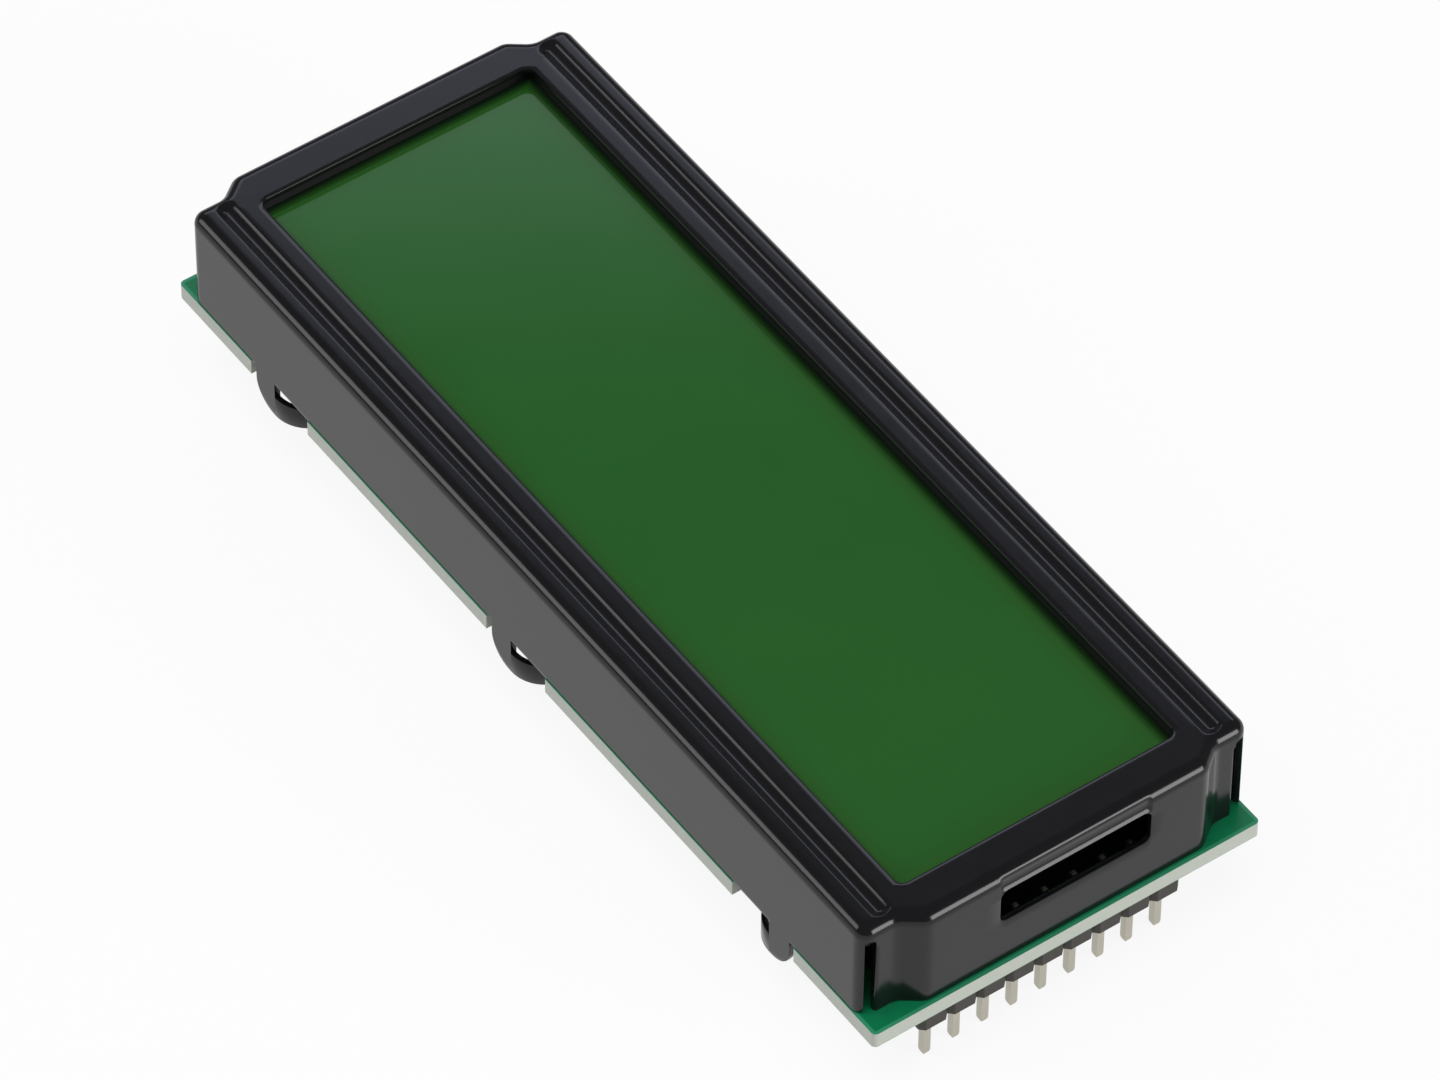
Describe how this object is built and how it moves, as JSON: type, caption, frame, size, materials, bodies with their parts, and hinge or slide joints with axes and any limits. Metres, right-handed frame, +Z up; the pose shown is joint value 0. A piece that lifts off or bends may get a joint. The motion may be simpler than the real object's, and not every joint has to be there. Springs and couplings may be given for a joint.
{
  "type": "character lcd module",
  "caption": "Character display module with a black folded bezel over a green screen, hooked to a green circuit board that stands on a row of header pins at each end.",
  "frame": {"origin": "middle of the module in plan, in the plane of the pin tips", "axes": "+X along the module to the end whose wall has the slot, +Z up out of the screen"},
  "size_m": [0.0876, 0.0338, 0.0173],
  "materials": {
    "board_green": "satin",
    "bezel_black": "satin",
    "gasket_black": "matte",
    "screen_green": "satin",
    "glass_clear": "gloss",
    "film_green": "satin",
    "strip_silicone": "matte",
    "sheet_white": "matte",
    "guide_acrylic": "gloss",
    "tray_black": "matte",
    "lamp_board_white": "matte",
    "lamp_yellow": "gloss",
    "pin_tinned": "satin",
    "header_black": "satin",
    "solder_tin": "satin",
    "resin_black": "satin",
    "resistor_black": "satin",
    "capacitor_tan": "satin"
  },
  "bodies": {
    "root": {"circuit_board": "board_green", "bezel": "bezel_black", "window_gasket": "gasket_black", "front_polarizer": "screen_green", "upper_glass": "glass_clear", "lower_glass": "glass_clear", "rear_polarizer": "film_green", "contact_strip_left": "strip_silicone", "contact_strip_right": "strip_silicone", "diffuser_sheet": "sheet_white", "light_guide": "guide_acrylic", "reflector_sheet": "sheet_white", "backlight_tray": "tray_black", "lamp_board": "lamp_board_white", "backlight_lamps": "lamp_yellow", "backlight_terminals": "pin_tinned", "header_body_near": "header_black", "header_body_far": "header_black", "header_pins_near": "pin_tinned", "header_pins_far": "pin_tinned", "solder_near": "solder_tin", "solder_far": "solder_tin", "chip_cap_near": "resin_black", "chip_cap_far": "resin_black", "chip_resistors": "resistor_black", "chip_capacitors": "capacitor_tan"}
  },
  "joints": []
}
